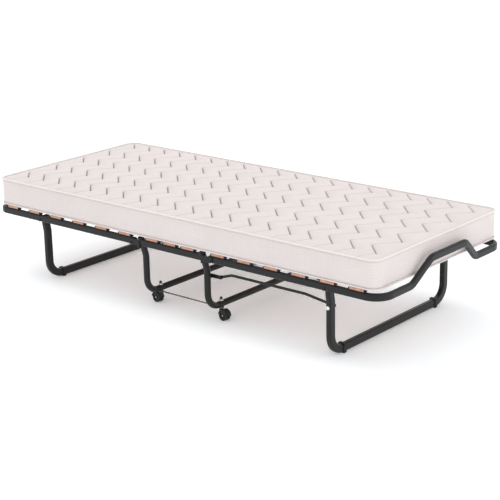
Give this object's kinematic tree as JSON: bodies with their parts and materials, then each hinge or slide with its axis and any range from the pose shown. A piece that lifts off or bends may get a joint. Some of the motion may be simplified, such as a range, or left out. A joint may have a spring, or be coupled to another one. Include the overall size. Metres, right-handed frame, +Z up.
{
  "type": "rollaway bed",
  "caption": "Folding rollaway bed: slatted steel frame on casters with a quilted mattress, folding outer legs and an end hoop.",
  "frame": {"origin": "on the floor under the middle of the whole bed's box", "axes": "+X along the bed towards the head end with the hoop, +Y across the bed towards its far side, +Z up"},
  "size_m": [1.932, 0.8108, 0.403],
  "materials": {
    "frame_paint": "satin",
    "black_plastic": "matte",
    "caster_plastic": "satin",
    "zinc": "satin",
    "rod_steel": "satin",
    "beech": "satin",
    "mattress_knit": "matte"
  },
  "bodies": {
    "middle": {"middle_rail_near": "frame_paint", "middle_rail_far": "frame_paint", "wheel_leg_foot": "frame_paint", "wheel_leg_head": "frame_paint", "spacer_rod_near": "rod_steel", "spacer_rod_far": "rod_steel", "slat_07": "beech", "slat_08": "beech", "slat_09": "beech", "slat_holders_middle": "black_plastic", "hinge_pins": "frame_paint", "caster_stems": "zinc", "leg_top_caps": "black_plastic", "mattress_middle": "mattress_knit", "mattress_fold_foot": "mattress_knit", "mattress_fold_head": "mattress_knit"},
    "foot": {"foot_frame": "frame_paint", "slat_01": "beech", "slat_02": "beech", "slat_03": "beech", "slat_04": "beech", "slat_05": "beech", "slat_06": "beech", "slat_holders_foot": "black_plastic", "mattress_foot": "mattress_knit", "foot_leg_rivets": "frame_paint"},
    "head": {"head_frame": "frame_paint", "slat_10": "beech", "slat_11": "beech", "slat_12": "beech", "slat_13": "beech", "slat_14": "beech", "slat_15": "beech", "slat_holders_head": "black_plastic", "mattress_head": "mattress_knit", "head_leg_rivets": "frame_paint"},
    "foot_leg": {"foot_leg_tube": "frame_paint", "foot_leg_pads": "black_plastic", "foot_link_bolt": "zinc"},
    "foot_link": {"foot_leg_link": "frame_paint"},
    "head_leg": {"head_leg_tube": "frame_paint", "head_leg_pads": "black_plastic", "head_link_bolt": "zinc"},
    "head_link": {"head_leg_link": "frame_paint"},
    "caster_foot_near": {"caster_foot_near_hood": "caster_plastic"},
    "caster_foot_near_wheels": {"caster_foot_near_axle": "zinc", "caster_foot_near_wheel_left": "caster_plastic", "caster_foot_near_wheel_right": "caster_plastic"},
    "caster_foot_far": {"caster_foot_far_hood": "caster_plastic"},
    "caster_foot_far_wheels": {"caster_foot_far_axle": "zinc", "caster_foot_far_wheel_left": "caster_plastic", "caster_foot_far_wheel_right": "caster_plastic"},
    "caster_head_near": {"caster_head_near_hood": "caster_plastic"},
    "caster_head_near_wheels": {"caster_head_near_axle": "zinc", "caster_head_near_wheel_left": "caster_plastic", "caster_head_near_wheel_right": "caster_plastic"},
    "caster_head_far": {"caster_head_far_hood": "caster_plastic"},
    "caster_head_far_wheels": {"caster_head_far_axle": "zinc", "caster_head_far_wheel_left": "caster_plastic", "caster_head_far_wheel_right": "caster_plastic"}
  },
  "joints": [
    {"name": "foot_fold", "type": "hinge", "parent": "middle", "child": "foot", "pos_m": [-0.2, 0, 0.2625], "axis": [0, 1, 0], "range_deg": [0, 90], "deforming": ["mattress_fold_foot"]},
    {"name": "foot_leg_fold", "type": "hinge", "parent": "foot", "child": "foot_leg", "pos_m": [-0.714, 0, 0.2625], "axis": [0, -1, 0], "range_deg": [0, 90]},
    {"name": "foot_link_swing", "type": "hinge", "parent": "middle", "child": "foot_link", "pos_m": [-0.2, 0, 0.187], "axis": [0, 1, 0], "range_deg": [0, 90]},
    {"name": "head_fold", "type": "hinge", "parent": "middle", "child": "head", "pos_m": [0.2, 0, 0.2625], "axis": [0, -1, 0], "range_deg": [0, 90], "deforming": ["mattress_fold_head"]},
    {"name": "head_leg_fold", "type": "hinge", "parent": "head", "child": "head_leg", "pos_m": [0.714, 0, 0.2625], "axis": [0, 1, 0], "range_deg": [0, 90]},
    {"name": "head_link_swing", "type": "hinge", "parent": "middle", "child": "head_link", "pos_m": [0.2, 0, 0.187], "axis": [0, -1, 0], "range_deg": [0, 90]},
    {"name": "caster_foot_near_swivel", "type": "hinge", "parent": "middle", "child": "caster_foot_near", "pos_m": [-0.155, -0.295, 0.045], "axis": [0, 0, 1], "continuous": true},
    {"name": "caster_foot_near_roll", "type": "hinge", "parent": "caster_foot_near", "child": "caster_foot_near_wheels", "pos_m": [-0.17293, -0.29343, 0.02], "axis": [-0.0872, -0.9962, 0], "continuous": true},
    {"name": "caster_foot_far_swivel", "type": "hinge", "parent": "middle", "child": "caster_foot_far", "pos_m": [-0.155, 0.295, 0.045], "axis": [0, 0, 1], "continuous": true},
    {"name": "caster_foot_far_roll", "type": "hinge", "parent": "caster_foot_far", "child": "caster_foot_far_wheels", "pos_m": [-0.17278, 0.29218, 0.02], "axis": [0.1564, -0.9877, 0], "continuous": true},
    {"name": "caster_head_near_swivel", "type": "hinge", "parent": "middle", "child": "caster_head_near", "pos_m": [0.155, -0.295, 0.045], "axis": [0, 0, 1], "continuous": true},
    {"name": "caster_head_near_roll", "type": "hinge", "parent": "caster_head_near", "child": "caster_head_near_wheels", "pos_m": [0.17287, -0.29719, 0.02], "axis": [0.1219, 0.9925, 0], "continuous": true},
    {"name": "caster_head_far_swivel", "type": "hinge", "parent": "middle", "child": "caster_head_far", "pos_m": [0.155, 0.295, 0.045], "axis": [0, 0, 1], "continuous": true},
    {"name": "caster_head_far_roll", "type": "hinge", "parent": "caster_head_far", "child": "caster_head_far_wheels", "pos_m": [0.17278, 0.29782, 0.02], "axis": [-0.1564, 0.9877, 0], "continuous": true}
  ],
  "couplings": [
    {"joint": "foot_leg_fold", "follows": "foot_fold", "ratio": 1},
    {"joint": "foot_link_swing", "follows": "foot_fold", "ratio": 1},
    {"joint": "head_leg_fold", "follows": "head_fold", "ratio": 1},
    {"joint": "head_link_swing", "follows": "head_fold", "ratio": 1}
  ]
}
